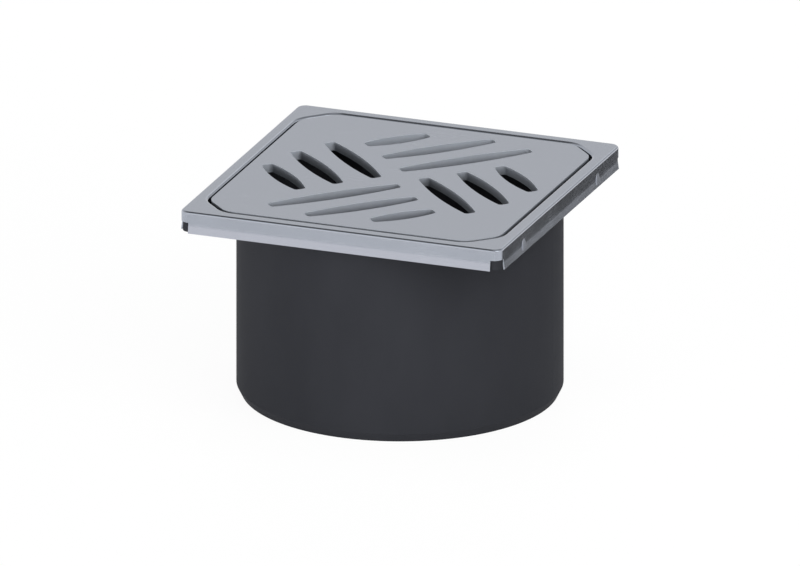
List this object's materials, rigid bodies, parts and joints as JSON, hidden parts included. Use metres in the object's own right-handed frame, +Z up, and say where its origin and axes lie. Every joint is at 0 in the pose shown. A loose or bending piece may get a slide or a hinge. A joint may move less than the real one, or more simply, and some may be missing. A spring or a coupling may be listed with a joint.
{
  "type": "drain grate",
  "caption": "Square slotted drain grate lying loose in a folded steel frame, on a round moulded tube that plugs into a floor drain.",
  "frame": {"origin": "centre of the tube's lower end, on the plane that it stands on", "axes": "+Z up, along the tube, towards the grate; X and Y along the frame's sides, and the gussets are on the -X and +X sides"},
  "size_m": [0.1514, 0.1512, 0.0977],
  "materials": {
    "grate_steel": "satin, fine grain",
    "frame_steel": "satin, fine grain, with brighter folded edges",
    "black_plastic": "matt moulded black"
  },
  "bodies": {
    "root": {"grate": "grate_steel", "frame": "frame_steel", "tube_body": "black_plastic"}
  },
  "joints": []
}
